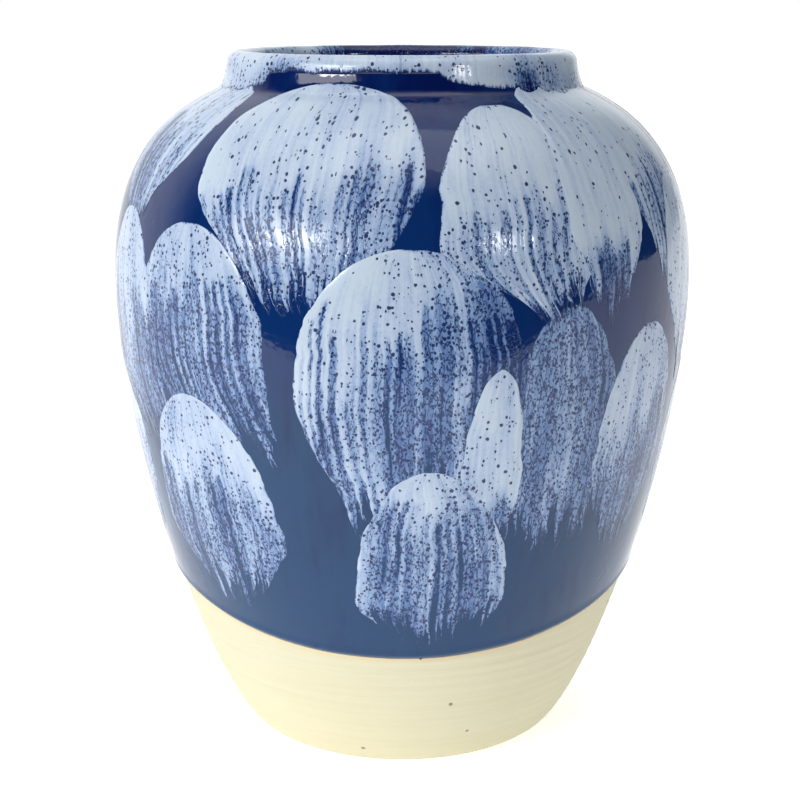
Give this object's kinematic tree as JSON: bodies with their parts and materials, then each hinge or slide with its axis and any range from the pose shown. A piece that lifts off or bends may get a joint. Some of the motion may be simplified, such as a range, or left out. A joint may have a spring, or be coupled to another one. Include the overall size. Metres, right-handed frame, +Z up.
{
  "type": "stoneware vase",
  "caption": "Shouldered stoneware vase with a short neck and open mouth, cobalt glaze overlaid with raised petal-shaped white brush strokes above a bare clay foot.",
  "frame": {"origin": "middle of the standing face, on the vase's axis", "axes": "+Z up the vase's axis towards the mouth, front with the glaze line's dip towards -Y, +X to the right seen from the front"},
  "size_m": [0.1605, 0.1612, 0.19],
  "materials": {
    "bare_stoneware": "matt bare fired clay",
    "cobalt_glaze": "glossy cobalt glaze",
    "liner_glaze": "glossy grey-blue liner glaze",
    "white_glaze": "glossy white glaze broken by blue specks and streaks"
  },
  "bodies": {
    "root": {"stoneware_body": "bare_stoneware", "cobalt_glaze_coat": "cobalt_glaze", "liner_glaze": "liner_glaze", "lip_white_band": "white_glaze", "stroke_back_high_1": "white_glaze", "stroke_back_high_2": "white_glaze", "stroke_back_high_3": "white_glaze", "stroke_back_high_4": "white_glaze", "stroke_back_high_5": "white_glaze", "stroke_back_middle_1": "white_glaze", "stroke_back_middle_2": "white_glaze", "stroke_back_middle_3": "white_glaze", "stroke_back_middle_4": "white_glaze", "stroke_back_middle_5": "white_glaze", "stroke_back_low_1": "white_glaze", "stroke_back_low_2": "white_glaze", "stroke_back_low_3": "white_glaze", "stroke_back_low_4": "white_glaze", "stroke_back_low_5": "white_glaze", "stroke_left_edge_low": "white_glaze", "stroke_right_edge_low": "white_glaze", "stroke_right_dull": "white_glaze", "stroke_right_neck": "white_glaze", "stroke_upper_right": "white_glaze", "stroke_right_tongue": "white_glaze", "stroke_right_edge_high": "white_glaze", "stroke_left_neck": "white_glaze", "stroke_left_inner": "white_glaze", "stroke_left_outer": "white_glaze", "stroke_upper_left": "white_glaze", "stroke_right_low": "white_glaze", "stroke_centre": "white_glaze", "stroke_centre_wedge": "white_glaze", "stroke_left_low": "white_glaze", "stroke_centre_low": "white_glaze"}
  },
  "joints": []
}
